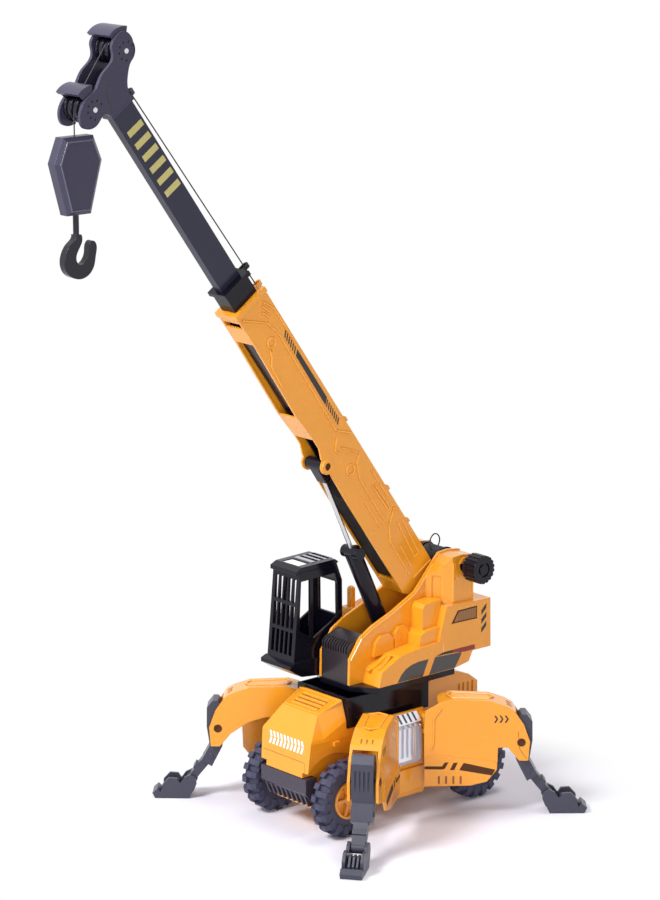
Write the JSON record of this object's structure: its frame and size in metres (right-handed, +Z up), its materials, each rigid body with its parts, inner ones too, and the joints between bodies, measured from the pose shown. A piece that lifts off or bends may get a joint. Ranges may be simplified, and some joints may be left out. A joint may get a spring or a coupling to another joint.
{
  "type": "toy crane truck",
  "caption": "Orange toy crane truck with four splayed outrigger legs, a slewing deck with side cab, a luffing telescopic boom, a winch and a hanging hook block.",
  "frame": {"origin": "on the ground, on the axis that the deck slews about, with the wheels and feet standing at z = 0", "axes": "+X to the nose, +Y to the vehicle's left, +Z up"},
  "size_m": [0.3494, 0.2189, 0.5223],
  "materials": {
    "orange_plastic": "glossy moulded plastic",
    "black_plastic": "smooth black moulded plastic",
    "grey_plastic": "dark grey moulded plastic",
    "tyre": "matt black tyre",
    "silver_paint": "silver plated plastic",
    "steel": "bright steel",
    "cord": "thin black cord"
  },
  "bodies": {
    "chassis": {"chassis_tub": "orange_plastic", "nose_hood": "orange_plastic", "front_bumper": "black_plastic", "turntable_tray": "black_plastic", "side_grilles": "silver_paint", "rear_cover": "orange_plastic", "chassis_screws": "steel", "leg_hinge_pins": "steel"},
    "front_wheels": {"front_axle": "steel", "tyre_front_left": "tyre", "hub_front_left": "orange_plastic", "tyre_front_right": "tyre", "hub_front_right": "orange_plastic"},
    "rear_wheels": {"rear_axle": "steel", "tyre_rear_left": "tyre", "hub_rear_left": "orange_plastic", "tyre_rear_right": "tyre", "hub_rear_right": "orange_plastic"},
    "upper_deck": {"slew_base": "black_plastic", "deck_body": "orange_plastic", "engine_louvre": "black_plastic", "cab_shell": "black_plastic", "cab_roof": "black_plastic", "exhaust_stack": "orange_plastic", "body_pins": "steel"},
    "winch": {"winch_shaft": "steel", "winch_drum": "black_plastic", "wound_line": "cord", "winch_knob": "black_plastic"},
    "boom": {"main_boom": "orange_plastic", "luff_pin": "black_plastic"},
    "sleeve": {"boom_sleeve": "black_plastic"},
    "jib": {"inner_boom": "black_plastic", "boom_head": "black_plastic", "head_pins": "steel", "boom_line": "cord"},
    "upper_sheave_set": {"upper_sheaves": "black_plastic"},
    "lower_sheave_set": {"lower_sheaves": "black_plastic"},
    "block": {"hook_block": "black_plastic", "hook_line": "cord"},
    "hook": {"hook": "black_plastic"},
    "luff_tube": {"luff_barrel": "black_plastic"},
    "luff_ram": {"luff_rod": "steel", "luff_clevis": "black_plastic"},
    "leg_front_left": {"leg_shell_front_left": "orange_plastic", "knee_pin_front_left": "black_plastic"},
    "shin_link_front_left": {"shin_front_left": "grey_plastic"},
    "pad_front_left": {"foot_front_left": "grey_plastic"},
    "leg_front_right": {"leg_shell_front_right": "orange_plastic", "knee_pin_front_right": "black_plastic"},
    "shin_link_front_right": {"shin_front_right": "grey_plastic"},
    "pad_front_right": {"foot_front_right": "grey_plastic"},
    "leg_rear_left": {"leg_shell_rear_left": "orange_plastic", "knee_pin_rear_left": "black_plastic"},
    "shin_link_rear_left": {"shin_rear_left": "grey_plastic"},
    "pad_rear_left": {"foot_rear_left": "grey_plastic"},
    "leg_rear_right": {"leg_shell_rear_right": "orange_plastic", "knee_pin_rear_right": "black_plastic"},
    "shin_link_rear_right": {"shin_rear_right": "grey_plastic"},
    "pad_rear_right": {"foot_rear_right": "grey_plastic"}
  },
  "joints": [
    {"name": "front_axle_turn", "type": "hinge", "parent": "chassis", "child": "front_wheels", "pos_m": [0.0575, 0, 0.0246], "axis": [0, 1, 0], "continuous": true},
    {"name": "rear_axle_turn", "type": "hinge", "parent": "chassis", "child": "rear_wheels", "pos_m": [-0.0565, 0, 0.0246], "axis": [0, 1, 0], "continuous": true},
    {"name": "slew", "type": "hinge", "parent": "chassis", "child": "upper_deck", "pos_m": [0, 0, 0.08], "axis": [0, 0, 1], "continuous": true},
    {"name": "winch_turn", "type": "hinge", "parent": "upper_deck", "child": "winch", "pos_m": [-0.0522, 0, 0.1573], "axis": [0, 1, 0], "continuous": true},
    {"name": "luff", "type": "hinge", "parent": "upper_deck", "child": "boom", "pos_m": [-0.03602, 0, 0.14309], "axis": [0, -1, 0], "range_deg": [-25, 10]},
    {"name": "sleeve_slide", "type": "slide", "parent": "boom", "child": "sleeve", "axis": [0.5821, 0, 0.8131], "range_m": [-0.012, 0.05]},
    {"name": "jib_slide", "type": "slide", "parent": "sleeve", "child": "jib", "axis": [0.5821, 0, 0.8131], "range_m": [-0.11, 0.04]},
    {"name": "upper_sheave_turn", "type": "hinge", "parent": "jib", "child": "upper_sheave_set", "pos_m": [0.20548, 0, 0.5079], "axis": [0, 1, 0], "continuous": true},
    {"name": "lower_sheave_turn", "type": "hinge", "parent": "jib", "child": "lower_sheave_set", "pos_m": [0.2286, 0, 0.4756], "axis": [0, 1, 0], "continuous": true},
    {"name": "block_swing", "type": "hinge", "parent": "jib", "child": "block", "pos_m": [0.2357, 0, 0.4676], "axis": [0, -1, 0], "range_deg": [-20, 30]},
    {"name": "hook_swivel", "type": "hinge", "parent": "block", "child": "hook", "pos_m": [0.2357, 0, 0.4145], "axis": [0, 0, 1], "continuous": true},
    {"name": "luff_tube_pivot", "type": "hinge", "parent": "upper_deck", "child": "luff_tube", "pos_m": [-0.0115, 0, 0.105], "axis": [0, -1, 0], "range_deg": [-25, 10]},
    {"name": "luff_ram_slide", "type": "slide", "parent": "luff_tube", "child": "luff_ram", "axis": [0.4271, 0, 0.9042], "range_m": [-0.02, 0.01]},
    {"name": "leg_swing_front_left", "type": "hinge", "parent": "chassis", "child": "leg_front_left", "pos_m": [0.026, 0.0355, 0.0605], "axis": [0, 0, 1], "range_deg": [-35, 10]},
    {"name": "knee_front_left", "type": "hinge", "parent": "leg_front_left", "child": "shin_link_front_left", "pos_m": [0.07397, 0.07178, 0.0496], "axis": [0.6032, -0.7976, 0], "range_deg": [-5, 60]},
    {"name": "ankle_front_left", "type": "hinge", "parent": "shin_link_front_left", "child": "pad_front_left", "pos_m": [0.08861, 0.08285, 0.0118], "axis": [0.6032, -0.7976, 0], "range_deg": [-15, 25]},
    {"name": "leg_swing_front_right", "type": "hinge", "parent": "chassis", "child": "leg_front_right", "pos_m": [0.026, -0.0355, 0.0605], "axis": [0, 0, -1], "range_deg": [-40, 10]},
    {"name": "knee_front_right", "type": "hinge", "parent": "leg_front_right", "child": "shin_link_front_right", "pos_m": [0.07013, -0.07637, 0.0496], "axis": [-0.6794, -0.7337, 0], "range_deg": [-5, 60]},
    {"name": "ankle_front_right", "type": "hinge", "parent": "shin_link_front_right", "child": "pad_front_right", "pos_m": [0.0836, -0.08884, 0.0118], "axis": [-0.6794, -0.7337, 0], "range_deg": [-15, 25]},
    {"name": "leg_swing_rear_left", "type": "hinge", "parent": "chassis", "child": "leg_rear_left", "pos_m": [-0.013, 0.0355, 0.0605], "axis": [0, 0, -1], "range_deg": [-22, 10]},
    {"name": "knee_rear_left", "type": "hinge", "parent": "leg_rear_left", "child": "shin_link_rear_left", "pos_m": [-0.05894, 0.07432, 0.0496], "axis": [0.6455, 0.7638, 0], "range_deg": [-5, 60]},
    {"name": "ankle_rear_left", "type": "hinge", "parent": "shin_link_rear_left", "child": "pad_rear_left", "pos_m": [-0.07296, 0.08617, 0.0118], "axis": [0.6455, 0.7638, 0], "range_deg": [-15, 25]},
    {"name": "leg_swing_rear_right", "type": "hinge", "parent": "chassis", "child": "leg_rear_right", "pos_m": [-0.013, -0.0355, 0.0605], "axis": [0, 0, 1], "range_deg": [-22, 10]},
    {"name": "knee_rear_right", "type": "hinge", "parent": "leg_rear_right", "child": "shin_link_rear_right", "pos_m": [-0.05894, -0.07432, 0.0496], "axis": [-0.6455, 0.7638, 0], "range_deg": [-5, 60]},
    {"name": "ankle_rear_right", "type": "hinge", "parent": "shin_link_rear_right", "child": "pad_rear_right", "pos_m": [-0.07296, -0.08617, 0.0118], "axis": [-0.6455, 0.7638, 0], "range_deg": [-15, 25]}
  ],
  "couplings": [
    {"joint": "luff_tube_pivot", "follows": "luff", "ratio": 0.861},
    {"joint": "luff_ram_slide", "follows": "luff", "m_per_rad": 0.04056}
  ]
}
